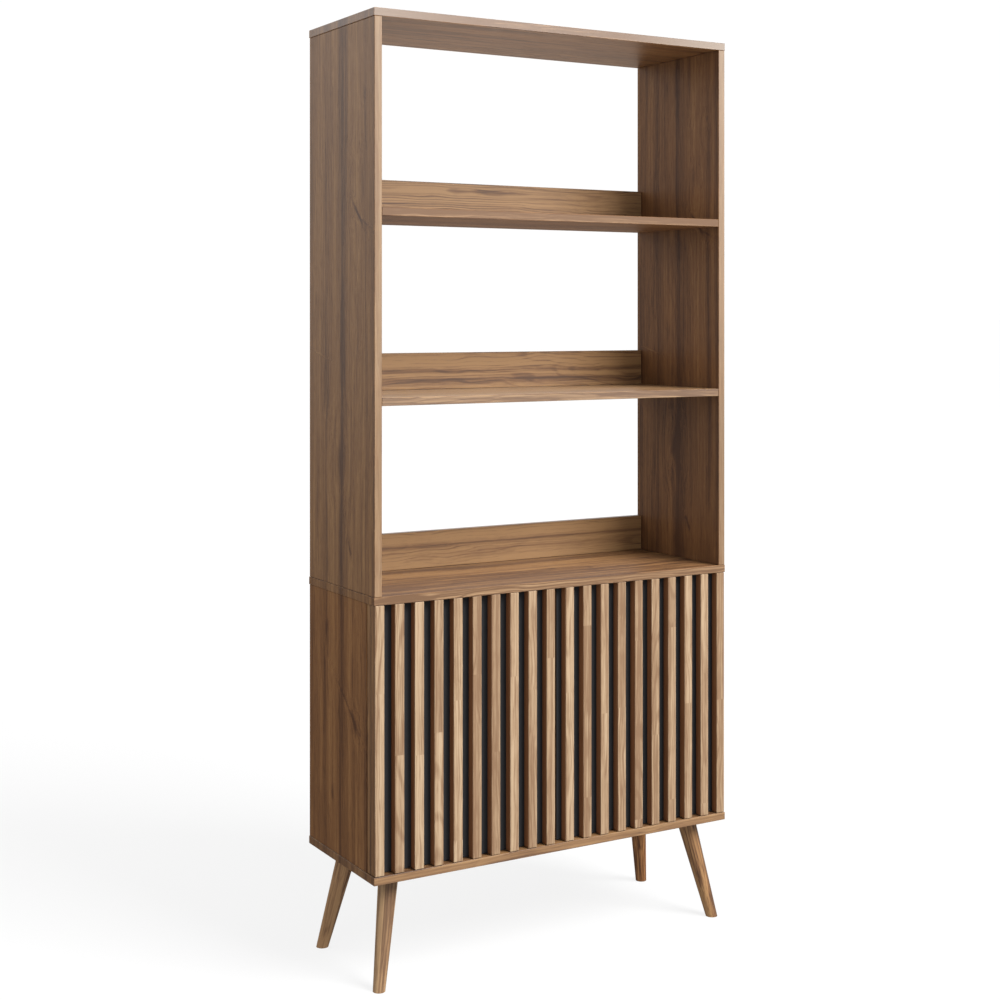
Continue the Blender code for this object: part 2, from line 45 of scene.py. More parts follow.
# Camera, solved from the photograph's straight edges
CAMERA_PLACE = (-1.7277, -2.8618, 1.2324)
CAMERA_TURN = math.radians(-30.37)
CAMERA_LENS = 0.05992
SENSOR_WIDTH = 0.036
HORIZON = 316.8              # the horizon's row in the photograph
IMAGE_SIZE = 1000
MILLIMETRES = 1000.0

# Surroundings, by the x, y and z of a direction
SKY_STRENGTH = 1.02          # the white above the horizon
ZENITH_STRENGTH = 0.70       # overhead
GROUND_STRENGTH = 0.03       # what glossy rays meet below the horizon
HORIZON_FADE = (-0.15, -0.02)  # z over which the ground goes to the white
OVERHEAD_FADE = (0.25, 0.50)   # z over which the white goes to the zenith
BRIGHT_BEHIND = 0.50         # how much further down the white reaches at the back right
BEHIND_FADE = (0.2, 0.5)     # x and y over which it does
BELOW_COLOR = (1.0, 0.80, 0.66)
BELOW_FADE = (-0.02, -0.06)  # z over which white goes to that colour
DIM_RIGHT = 0.35             # what is left of it furthest to the right
DIM_FADE = (0.50, 0.60)      # x over which it dims

# Lights and floor
KEY_POWER = 3900.0
KEY_AZIMUTH = math.radians(28)  # from straight in front towards the right
KEY_ELEVATION = math.radians(42)
KEY_DISTANCE = 12.0
KEY_SIZE = 5.9
FILL_POWER = 20.0
FILL_PLACE = (-2.4, 1.8, 2.7)  # behind, to the left
FILL_SIZE = 1.4
FRONT_POWER = 16.0
FRONT_PLACE = (-2.9, -2.2, 2.5)  # in front, to the left
FRONT_SIZE = 1.2
FLOOR_WHITE = (0.08, 0.08, 0.08)
FLOOR_GLOW = (0.838, 0.86)   # in front of the bookcase and behind it; the higher glow behind is painted light that lightens the bookcase's shadow there
GLOW_DEPTH = (0.2, 1.4)      # y over which the one goes to the other
FAR_GLOW = 0.96              # where the floor runs into the white behind it
GLOW_REACH = (2.0, 6.0)      # distances from the middle over which it gets there
FLOOR_HALF = 2000.0          # so large that the floor's edge lies on the horizon

# Colours, linear
WALNUT_DARK = (0.058, 0.029, 0.0165)
WALNUT_MIDDLE = (0.133, 0.067, 0.029)
WALNUT_LIGHT = (0.225, 0.127, 0.053)
PALE_DARK = (0.150, 0.088, 0.049)
PALE_MIDDLE = (0.222, 0.147, 0.087)
PALE_LIGHT = (0.290, 0.207, 0.130)
FLANK_DARK = (0.130, 0.052, 0.021)  # the slats' sides
FLANK_LIGHT = (0.215, 0.098, 0.043)
# painted sheen: the pale grey that front edges take on where they would reflect the light
SHEEN_COLOR = (0.250, 0.215, 0.180)
BLACK_COAT = (0.014, 0.0145, 0.016)
NICKEL = (0.62, 0.61, 0.59)
HARDBOARD = (0.16, 0.09, 0.045)

# Grain
NOISE_RANGE = (0.3, 0.7)     # nearly all of a noise's values
LAYER_RANGE = (0.28, 0.72)
# Layers: cycles a metre along and across the grain, detail, weight
BAND_LAYER = (0.35, 20.0, 1.5)  # its weight is each finish's own
PATCH_LAYER = (3.5, 32.0, 2.0, 0.18)
STREAK_LAYERS = [
    (0.8, 80.0, 1.0, 0.30),
    (1.6, 200.0, 1.0, 0.42),
    (3.0, 420.0, 1.0, 0.24),
]
MIDDLE_TONE = 0.46
FIBRE_DEPTH = 0.50
TONE_STOPS = {"walnut": (0.05, 0.46, 0.90), "pale": (0.05, 0.50, 0.95), "flank": (0.0, 0.9)}
RING_TURNS = 300.0           # the growth rings' radians over the whole contour noise
LINE_TURNS = 1150.0          # the parallel growth lines' radians a metre
LINE_WARP = 16.0             # radians by which a noise moves them
FIGURE_DEPTH = 0.32
PORE_DEPTH = 0.16
WOOD_ROUGHNESS = (0.48, 0.36)  # in the pores and on the fibres
WOOD_BUMP = dict(strength=0.10, distance=0.0003)

# Dark streaks of the four sides' laminate: y, half width, darkness
SIDE_STREAKS = [
    (0.128, 0.013, 0.10),
    (0.066, 0.009, 0.20),
    (-0.004, 0.010, 0.30),
    (-0.022, 0.009, 0.14),
    (-0.108, 0.007, 0.20),
    (-0.139, 0.006, 0.22),
]
# Its knots and marks: y, z, half width, half height, lean, darkness
SIDE_KNOTS = [
    (-0.074, 1.424, 0.005, 0.020, 0.92, 0.60),
    (-0.105, 1.405, 0.005, 0.009, 2.2, 0.25),
    (-0.066, 1.475, 0.012, 0.038, 0.0, -0.10),
    (0.004, 0.960, 0.014, 0.040, 0.0, 0.34),
    (-0.040, 0.797, 0.004, 0.013, 0.4, 0.45),
    (-0.105, 1.642, 0.004, 0.008, 0.0, 0.25),
    (0.034, 1.721, 0.002, 0.016, 0.0, 0.25),
    (-0.030, 0.505, 0.004, 0.030, 1.14, 0.30),
    (-0.060, 0.478, 0.007, 0.018, 0.6, 0.45),
    (0.037, 0.324, 0.004, 0.013, 0.0, 0.30),
    (0.064, 0.633, 0.004, 0.013, 0.0, 0.30),
    (0.096, 1.161, 0.004, 0.006, 4.13, -0.25),
]
# Streaks along the rails: place below the top and half width, both as shares of the height, darkness
RAIL_STREAKS = {
    "back_rail_high": [
        (0.25, 0.10, 0.10),
        # painted shade: a dark line just above where the high shelf's front edge hides the rail
        (0.62, 0.03, 0.30),
    ],
    "back_rail_middle": [
        (0.36, 0.07, -0.25),
        (0.50, 0.05, 0.30),
        (0.59, 0.02, -0.30),
        (0.76, 0.09, 0.35),
    ],
    "back_rail_low": [
        (0.17, 0.15, -0.25),
        (0.40, 0.035, 0.50),
        (0.58, 0.12, 0.16),
        (0.93, 0.12, -0.25),
    ],
}
PARTING = 0.8                # how strongly the grain parts round a knot
PARTING_WIDTH = 2.6          # how far that reaches, in the knot's own widths and heights
PARTING_HEIGHT = 2.2

# Slats, counted from the left of the photograph
SLAT_KINDS = {"pale": 0.02, "middle": -0.14, "brown": -0.30}
PALE_SLATS = (1, 3, 5, 8, 11, 19)
BROWN_SLATS = (6, 7, 12, 16, 20)
SLATS_PER_DOOR = 10
SLAT_PITCH = (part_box("slat_left_02")[0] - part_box("slat_left_01")[0]).length
SLAT_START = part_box("slat_left_01")[0].x - SLAT_PITCH / 4
OUTER_FLANK = abs(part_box("slat_left_01")[0].x)
OUTER_LIFT = 0.08            # the tone of the outermost slats' outer flanks, above the sides'
STRIP_SHORTEST = 0.26        # length of the finger-jointed strips, the same along one slat
STRIP_SPREAD = 0.20

# Each leg's wood. Their tones differ from leg to leg, partly as the wood's own and partly as painted
# light and shade.
LEG_WOODS = {
    "leg_front_left": dict(lift=0.10, paler=0.4),
    "leg_front_right": dict(lift=0.26, paler=0.1, warmth=0.08),
    "leg_back_left": dict(lift=0.48, paler=0.25, warmth=0.12),
    "leg_back_right": dict(lift=0.0, warmth=0.30),
}

# Change of tone along the pieces, painted light on a side, and a painted sheen on front edges
SIDE_SPAN = (0.75, 1.75)     # heights between which a side's tone rises: painted light, lighter higher up and darker lower down
SHEEN_RISE = (0.9, 1.78)      # heights between which an upright front edge goes to the painted sheen
LEFT_SHEEN = (-0.2, -0.4)     # x over which a level front edge goes to the painted sheen at its left end
RIGHT_SHEEN = (0.15, 0.4)     # and to the one at its right end


class Graph:
    """Adds shader nodes to a tree, each fed from sockets or plain values."""

    def __init__(self, tree):
        self.tree = tree

    def add(self, kind, inputs=None, **settings):
        node = self.tree.nodes.new(kind)
        for name, value in settings.items():
            setattr(node, name, value)
        for key, value in (inputs or {}).items():
            self.feed(node.inputs[key], value)
        return node

    def feed(self, socket, value):
        if isinstance(value, bpy.types.NodeSocket):
            self.tree.links.new(value, socket)
        else:
            socket.default_value = value

    def math(self, operation, first, second=0.0, third=0.0):
        inputs = {0: first, 1: second, 2: third}
        return self.add("ShaderNodeMath", inputs, operation=operation).outputs[0]

    def vector(self, operation, first, second=(0, 0, 0)):
        inputs = {0: first, 1: second}
        node = self.add("ShaderNodeVectorMath", inputs, operation=operation)
        return node.outputs["Value" if operation == "DOT_PRODUCT" else "Vector"]

    def parts(self, vector):
        node = self.add("ShaderNodeSeparateXYZ", {0: vector})
        return [node.outputs[index] for index in range(3)]

    def joined(self, x, y, z):
        return self.add("ShaderNodeCombineXYZ", {0: x, 1: y, 2: z}).outputs[0]

    def noise(self, vector, stretch, detail=2.0, roughness=0.5):
        """Noise with its own frequency, in cycles a metre, along each axis."""
        inputs = {
            "Vector": self.vector("MULTIPLY", vector, stretch),
            "Scale": 1.0,
            "Detail": detail,
            "Roughness": roughness,
        }
        return self.add("ShaderNodeTexNoise", inputs).outputs["Fac"]

    def spread(self, value, low, high, to_low=0.0, to_high=1.0):
        inputs = {"Value": value, "From Min": low, "From Max": high, "To Min": to_low, "To Max": to_high}
        return self.add("ShaderNodeMapRange", inputs).outputs["Result"]

    def blend(self, share, first, second):
        inputs = {"Factor": share, 6: first, 7: second}
        return self.add("ShaderNodeMix", inputs, data_type="RGBA").outputs[2]

    def ramp(self, value, places, colors):
        node = self.add("ShaderNodeValToRGB", {"Fac": value})
        elements = node.color_ramp.elements
        while len(elements) < len(places):
            elements.new(0.5)
        for element, place, color in zip(elements, places, colors):
            element.position = place
            element.color = (*color, 1.0)
        return node.outputs["Color"]

    def bump(self, height, strength, distance):
        inputs = {"Height": height, "Strength": strength, "Distance": distance}
        return self.add("ShaderNodeBump", inputs).outputs["Normal"]


def new_material(name):
    material = bpy.data.materials.new(name)
    material.use_nodes = True
    tree = material.node_tree
    return material, Graph(tree), tree.nodes["Principled BSDF"]


def dress(node, material):
    """Gives a CAD node its finish."""
    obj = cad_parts[node]
    for slot in obj.material_slots:
        slot.material = material
    if not obj.material_slots:
        obj.data.materials.append(material)


def grain_place(graph, grain, seed):
    """The place on the piece with the grain along the first axis."""
    order = {"X": (0, 1, 2), "Z": (2, 1, 0)}[grain]
    place = graph.parts(graph.add("ShaderNodeTexCoord").outputs["Object"])
    at = graph.joined(*(place[index] for index in order))
    return graph.vector("ADD", at, (seed * 7.31, seed * 3.17, seed * 5.23))


def facing(graph, axis):
    """1 on faces square to an axis of the piece and 0 on the others."""
    normal = graph.parts(graph.add("ShaderNodeTexCoord").outputs["Normal"])["XYZ".index(axis)]
    return graph.spread(graph.math("ABSOLUTE", normal), 0.85, 0.95)


def bell(graph, across, along=None):
    """1 in the middle and falling to 0 outside the unit circle."""
    far = graph.math("MULTIPLY", across, across)
    if along is not None:
        far = graph.math("MULTIPLY_ADD", along, along, far)
    return graph.math("EXPONENT", graph.math("MULTIPLY", far, -1.0))


def side_figure_group():
    """The dark streaks and knots of the sides: how dark, and how far the grain is pushed aside."""
    group = bpy.data.node_groups.new("side figure", "ShaderNodeTree")
    for name in ("Dark", "Push"):
        group.interface.new_socket(name, in_out="OUTPUT", socket_type="NodeSocketFloat")
    graph = Graph(group)
    _, y, z = graph.parts(graph.add("ShaderNodeTexCoord").outputs["Object"])
    drift = graph.noise(graph.joined(z, y, 0.0), (1.3, 4.0, 1.0), detail=2.0)
    ragged = graph.noise(graph.joined(z, y, 0.0), (14.0, 260.0, 1.0), detail=3.0, roughness=0.7)
    place = graph.math("ADD", y, graph.spread(drift, *NOISE_RANGE, -0.005, 0.005))
    place = graph.math("ADD", place, graph.spread(ragged, *NOISE_RANGE, -0.0025, 0.0025))
    dark = push = 0.0
    for middle, half, depth in SIDE_STREAKS:
        across = graph.math("DIVIDE", graph.math("SUBTRACT", place, middle), half)
        dark = graph.math("MULTIPLY_ADD", bell(graph, across), depth, dark)
    for middle, height, half_width, half_height, lean, depth in SIDE_KNOTS:
        above = graph.math("SUBTRACT", z, height)
        leaned = graph.math("MULTIPLY", above, lean)
        beside = graph.math("SUBTRACT", graph.math("SUBTRACT", y, middle), leaned)
        across = graph.math("DIVIDE", beside, half_width)
        along = graph.math("DIVIDE", above, half_height)
        dark = graph.math("MULTIPLY_ADD", bell(graph, across, along), depth, dark)
        around = bell(
            graph,
            graph.math("DIVIDE", across, PARTING_WIDTH),
            graph.math("DIVIDE", along, PARTING_HEIGHT),
        )
        push = graph.math("MULTIPLY_ADD", graph.math("MULTIPLY", beside, around), -PARTING, push)
    outlet = graph.add("NodeGroupOutput")
    graph.feed(outlet.inputs["Dark"], dark)
    graph.feed(outlet.inputs["Push"], push)
    return group


def walnut_group():
    """Walnut: long streaks, growth lines that close into flames in places, fibres and pores."""
    group = bpy.data.node_groups.new("walnut grain", "ShaderNodeTree")
    group.interface.new_socket("Place", in_out="INPUT", socket_type="NodeSocketVector")
    for name in ("Push", "Bands", "Fine", "Figure"):
        group.interface.new_socket(name, in_out="INPUT", socket_type="NodeSocketFloat")
    for name in ("Tone", "Height"):
        group.interface.new_socket(name, in_out="OUTPUT", socket_type="NodeSocketFloat")
    graph = Graph(group)
    given = graph.add("NodeGroupInput")
    place, push, bands, fine, figure = (given.outputs[index] for index in range(5))

    flow = graph.noise(place, (0.9, 5.0, 5.0), detail=1.0)
    sway = graph.math("ADD", graph.spread(flow, *NOISE_RANGE, -0.010, 0.010), push)
    wave = graph.noise(place, (9.0, 26.0, 26.0), detail=1.0)
    sway = graph.math("ADD", sway, graph.spread(wave, *NOISE_RANGE, -0.0018, 0.0018))
    bent = graph.vector("ADD", place, graph.joined(0.0, sway, sway))

    def layer(under, along, across, detail, weight):
        value = graph.noise(bent, (along, across, across), detail)
        return graph.math("MULTIPLY_ADD", graph.spread(value, *LAYER_RANGE, -0.5, 0.5), weight, under)

    tone = layer(MIDDLE_TONE, *BAND_LAYER, bands)
    tone = layer(tone, *PATCH_LAYER)
    streaks = 0.0
    for sizes in STREAK_LAYERS:
        streaks = layer(streaks, *sizes)
    tone = graph.math("MULTIPLY_ADD", streaks, fine, tone)
    fibre = graph.noise(bent, (26.0, 700.0, 700.0), detail=2.0, roughness=0.7)
    tone = graph.math("MULTIPLY_ADD", graph.math("SUBTRACT", fibre, 0.5), FIBRE_DEPTH, tone)

    contour = graph.noise(bent, (0.5, 9.0, 9.0), detail=1.2, roughness=0.4)
    rings = graph.math("SINE", graph.math("MULTIPLY", contour, RING_TURNS))
    rings = graph.spread(rings, 0.35, 1.0, 0.15, -1.0)
    where = graph.spread(graph.noise(place, (0.9, 7.0, 7.0), detail=1.0), 0.40, 0.54)
    across = graph.vector("DOT_PRODUCT", bent, (0.0, 1.0, 1.0))
    warp = graph.math("MULTIPLY", graph.noise(place, (3.0, 30.0, 30.0), detail=2.0), LINE_WARP)
    lines = graph.math("SINE", graph.math("MULTIPLY_ADD", across, LINE_TURNS, warp))
    lines = graph.spread(lines, 0.3, 1.0, 0.12, -0.8)
    there = graph.spread(graph.noise(bent, (1.6, 45.0, 45.0), detail=1.0), 0.36, 0.56)
    lines = graph.math("MULTIPLY_ADD", lines, there, graph.math("MULTIPLY", rings, where))
    tone = graph.math("MULTIPLY_ADD", graph.math("MULTIPLY", lines, figure), FIGURE_DEPTH, tone)

    pores = graph.spread(graph.noise(bent, (40.0, 1100.0, 1100.0), detail=1.0), 0.57, 0.65)
    tone = graph.math("MULTIPLY_ADD", pores, -PORE_DEPTH, tone)
    height = graph.math("SUBTRACT", fibre, graph.math("MULTIPLY", pores, 0.8))

    outlet = graph.add("NodeGroupOutput")
    graph.feed(outlet.inputs["Tone"], tone)
    graph.feed(outlet.inputs["Height"], height)
    return group


def walnut_tone(graph, place, push=0.0, bands=0.40, fine=1.0, figure=0.4):
    """The tone and height of walnut at a place."""
    wood = graph.add("ShaderNodeGroup", node_tree=walnut)
    given = {"Place": place, "Push": push, "Bands": bands, "Fine": fine, "Figure": figure}
    for name, value in given.items():
        graph.feed(wood.inputs[name], value)
    return wood.outputs["Tone"], wood.outputs["Height"]


def side_tone(graph):
    """The tone and height of the sides' laminate."""
    figure = graph.add("ShaderNodeGroup", node_tree=side_figure)
    place = grain_place(graph, "Z", 0)
    tone, height = walnut_tone(graph, place, figure.outputs["Push"], bands=0.12, fine=0.55, figure=0.2)
    tone = graph.math("SUBTRACT", tone, figure.outputs["Dark"])
    return tone, height


def walnut_colors(graph, tone, warmth=0.0):
    """Walnut from dark to light. Warmth takes green and blue out of it: on some pieces the wood's own
    redder tone, on pieces that stand in shade the painted warmer hue of that shade.
    """
    colors = (WALNUT_DARK, WALNUT_MIDDLE, WALNUT_LIGHT)
    warmed = [(red, green * (1 - 0.6 * warmth), blue * (1 - warmth)) for red, green, blue in colors]
    return graph.ramp(tone, TONE_STOPS["walnut"], warmed)


def pale_colors(graph, tone):
    return graph.ramp(tone, TONE_STOPS["pale"], (PALE_DARK, PALE_MIDDLE, PALE_LIGHT))


def finish_wood(graph, shader, color, height, gloss, rougher=0.0):
    """Satin wood."""
    graph.feed(shader.inputs["Base Color"], color)
    roughness = graph.spread(height, 0.2, 0.8, *WOOD_ROUGHNESS)
    graph.feed(shader.inputs["Roughness"], graph.math("ADD", roughness, rougher))
    graph.feed(shader.inputs["Normal"], graph.bump(height, **WOOD_BUMP))
    shader.inputs["Specular IOR Level"].default_value = gloss


def side_finish(name, gloss, edge, lift=0.0, painted_light_rise=0.0, warmth=0.0, painted_sheen=0.0):
    """A side's laminate, with a paler front edge that goes to a painted sheen higher up, and a tone that
    can climb with height as painted light.
    """
    material, graph, shader = new_material(name)
    place_z = graph.parts(graph.add("ShaderNodeTexCoord").outputs["Object"])[2]
    tone, height = side_tone(graph)
    # painted light: the side's tone can climb with height, lighter higher up and darker lower down
    tone = graph.math("ADD", tone, graph.spread(place_z, *SIDE_SPAN, lift - painted_light_rise, lift + painted_light_rise))
    plain, _ = walnut_tone(graph, grain_place(graph, "Z", 3), figure=0.2)
    front = facing(graph, "Y")
    share = graph.math("MULTIPLY", front, edge)
    color = graph.blend(share, walnut_colors(graph, tone, warmth), pale_colors(graph, plain))
    # painted sheen: an upright front edge goes paler and greyer higher up, standing in for reflected
    # light
    sheen_here = graph.math("MULTIPLY", front, graph.spread(place_z, *SHEEN_RISE, 0.0, painted_sheen))
    color = graph.blend(sheen_here, color, (*SHEEN_COLOR, 1.0))
    finish_wood(graph, shader, color, height, gloss)
    return material


def level_finish(
    name, seed, lift=0.0, edge_lift=0.0, painted_underside_light=0.0, rougher=0.0, under_rougher=0.0, gloss=0.3,
    edge=0.0, bands=0.30, fine=1.2, figure=0.4, warmth=0.0, painted_sheen=(0.0, 0.0, 0.0), streaks=(),
):
    """A level board or a rail, whose ends carry the laminate of the sides.

    The lifts change the tone of its upper face, front and underside, and edge makes the front paler. The
    lifts of the upper face and the underside are painted light.
    Its painted sheen is how far the front goes to the pale colour of a painted reflection at its left
    end, all along and at its right end.
    """
    material, graph, shader = new_material(name)
    place_x, _, place_z = graph.parts(graph.add("ShaderNodeTexCoord").outputs["Object"])
    place = grain_place(graph, "X", seed)
    tone, height = walnut_tone(graph, place, bands=bands, fine=fine, figure=figure)
    upright = graph.parts(graph.add("ShaderNodeTexCoord").outputs["Normal"])[2]
    under = graph.spread(upright, -0.85, -0.95)
    front = facing(graph, "Y")
    # painted light: the upper face and the underside get a tone of their own, apart from the rest of the
    # board
    for share, change in (
        (graph.spread(upright, 0.85, 0.95), lift),
        (front, edge_lift),
        (under, painted_underside_light),
    ):
        tone = graph.math("MULTIPLY_ADD", share, change, tone)
    if streaks:
        waver = graph.noise(graph.joined(place_x, place_z, seed), (5.0, 30.0, 1.0), detail=2.0)
        height_at = graph.math("ADD", place_z, graph.spread(waver, *NOISE_RANGE, -0.002, 0.002))
    for middle, half, depth in streaks:
        across = graph.math("DIVIDE", graph.math("SUBTRACT", height_at, middle), half)
        tone = graph.math("MULTIPLY_ADD", bell(graph, across), -depth, tone)
    share = graph.math("MULTIPLY", front, edge)
    color = graph.blend(share, walnut_colors(graph, tone, warmth), pale_colors(graph, tone))
    # painted sheen on the front: paler and greyer at its ends, standing in for reflected light
    left_sheen, all_sheen, right_sheen = painted_sheen
    if any(painted_sheen):
        ends = graph.spread(place_x, *LEFT_SHEEN, all_sheen, left_sheen)
        ends = graph.math("MAXIMUM", ends, graph.spread(place_x, *RIGHT_SHEEN, all_sheen, right_sheen))
        color = graph.blend(graph.math("MULTIPLY", ends, front), color, (*SHEEN_COLOR, 1.0))
    end_tone, _ = side_tone(graph)
    color = graph.blend(facing(graph, "X"), color, walnut_colors(graph, end_tone))
    rougher_here = graph.math("MULTIPLY_ADD", under, under_rougher, rougher)
    finish_wood(graph, shader, color, height, gloss, rougher_here)
    return material


def slat_finish(name, paleness):
    """Finger-jointed strips, pale on the front and walnut on the flanks."""
    material, graph, shader = new_material(name)
    x, y, z = graph.parts(graph.add("ShaderNodeTexCoord").outputs["Object"])
    slat = graph.math("FLOOR", graph.math("DIVIDE", graph.math("SUBTRACT", x, SLAT_START), SLAT_PITCH))
    slat_seed = graph.add("ShaderNodeTexWhiteNoise", {"W": slat}, noise_dimensions="1D").outputs["Value"]
    length = graph.math("MULTIPLY_ADD", slat_seed, STRIP_SPREAD, STRIP_SHORTEST)
    piece = graph.math("FLOOR", graph.math("DIVIDE", graph.math("ADD", z, slat_seed), length))
    piece_seed = graph.add("ShaderNodeTexWhiteNoise", {
        "Vector": graph.joined(slat, piece, 0.0),
    }, noise_dimensions="2D").outputs["Value"]
    place = graph.joined(
        graph.math("MULTIPLY_ADD", piece_seed, 9.0, z),
        graph.math("MULTIPLY_ADD", slat_seed, 5.0, x),
        y,
    )
    tone, height = walnut_tone(graph, place, bands=0.45, fine=1.5, figure=1.0)
    tone = graph.math("ADD", tone, paleness)
    mottle = graph.noise(place, (22.0, 60.0, 60.0), detail=2.0, roughness=0.6)
    tone = graph.math("MULTIPLY_ADD", graph.math("SUBTRACT", mottle, 0.5), 0.5, tone)
    tone = graph.math("MULTIPLY_ADD", piece_seed, 0.20, tone)
    flank, _ = walnut_tone(graph, grain_place(graph, "Z", 0))
    flank = graph.ramp(flank, TONE_STOPS["flank"], (FLANK_DARK, FLANK_LIGHT))
    outermost = graph.spread(graph.math("ABSOLUTE", x), OUTER_FLANK - 0.001, OUTER_FLANK - 0.0005)
    side = graph.math("ADD", side_tone(graph)[0], OUTER_LIFT)
    flank = graph.blend(outermost, flank, walnut_colors(graph, side))
    color = graph.blend(facing(graph, "X"), pale_colors(graph, tone), flank)
    finish_wood(graph, shader, color, height, 0.2)
    return material


def leg_finish(name, axis, seed, lift, paler=0.0, warmth=0.0):
    """Turned wood with long grain down the leg."""
    material, graph, shader = new_material(name)
    turn = axis.rotation_difference(Vector((1, 0, 0))).to_euler()
    place = graph.add("ShaderNodeMapping", {
        "Vector": graph.add("ShaderNodeTexCoord").outputs["Object"],
        "Rotation": turn,
        "Location": (seed, seed * 2, seed * 3),
    }).outputs[0]
    tone, height = walnut_tone(graph, place, bands=0.9, fine=2.2, figure=0.7)
    tone = graph.math("ADD", tone, lift)
    color = graph.blend(paler, walnut_colors(graph, tone, warmth), pale_colors(graph, tone))
    finish_wood(graph, shader, color, height, 0.18)
    return material


def door_board_finish(name):
    """A door board: black behind the slats, walnut on its edges and inside."""
    material, graph, shader = new_material(name)
    tone, height = walnut_tone(graph, grain_place(graph, "Z", 0))
    speckle = graph.noise(graph.add("ShaderNodeTexCoord").outputs["Object"], (900.0, 900.0, 900.0))
    black = graph.blend(speckle, (*BLACK_COAT, 1), tuple(1.3 * part for part in BLACK_COAT) + (1,))
    normal = graph.add("ShaderNodeTexCoord").outputs["Normal"]
    front = graph.spread(graph.parts(normal)[1], -0.5, -0.6)
    color = graph.blend(front, walnut_colors(graph, tone), black)
    graph.feed(shader.inputs["Base Color"], color)
    graph.feed(shader.inputs["Roughness"], graph.spread(front, 0.0, 1.0, 0.42, 0.60))
    graph.feed(shader.inputs["Normal"], graph.bump(speckle, 0.10, 0.0002))
    shader.inputs["Specular IOR Level"].default_value = 0.2
    return material


def back_board_finish(name):
    """The thin back: walnut towards the shelves and bare hardboard behind."""
    material, graph, shader = new_material(name)
    tone, height = walnut_tone(graph, grain_place(graph, "X", 21))
    place = graph.add("ShaderNodeTexCoord").outputs["Object"]
    felt = graph.noise(place, (260.0, 260.0, 260.0), detail=4.0, roughness=0.7)
    bare = graph.vector("SCALE", HARDBOARD)
    graph.feed(bare.node.inputs["Scale"], graph.spread(felt, *NOISE_RANGE, 0.75, 1.25))
    behind = graph.spread(graph.parts(graph.add("ShaderNodeTexCoord").outputs["Normal"])[1], 0.5, 0.6)
    graph.feed(shader.inputs["Base Color"], graph.blend(behind, walnut_colors(graph, tone), bare))
    graph.feed(shader.inputs["Roughness"], graph.spread(behind, 0.0, 1.0, 0.42, 0.75))
    graph.feed(shader.inputs["Normal"], graph.bump(felt, 0.10, 0.0003))
    shader.inputs["Specular IOR Level"].default_value = 0.3
    return material


def steel_finish(name):
    """Nickelled steel with a fine rolled grain."""
    material, graph, shader = new_material(name)
    place = graph.add("ShaderNodeTexCoord").outputs["Object"]
    grain = graph.noise(place, (60.0, 1800.0, 1800.0), detail=2.0)
    graph.feed(shader.inputs["Roughness"], graph.spread(grain, *NOISE_RANGE, 0.22, 0.38))
    graph.feed(shader.inputs["Normal"], graph.bump(grain, 0.08, 0.0001))
    shader.inputs["Base Color"].default_value = (*NICKEL, 1.0)
    shader.inputs["Metallic"].default_value = 1.0
    return material


def slat_kind(side, count):
    """Slats are numbered from each door's outer edge."""
    place = count if side == "left" else 2 * SLATS_PER_DOOR + 1 - count
    if place in PALE_SLATS:
        return "pale"
    return "brown" if place in BROWN_SLATS else "middle"


def leg_axis(node):
    """Down a leg and outwards, from the box round it."""
    low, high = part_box(node)
    middle, size = (low + high) / 2, high - low
    lean = Vector((math.copysign(size.x, middle.x), math.copysign(size.y, middle.y), 0)) / 2
    return (lean - Vector((0, 0, size.z))).normalized()


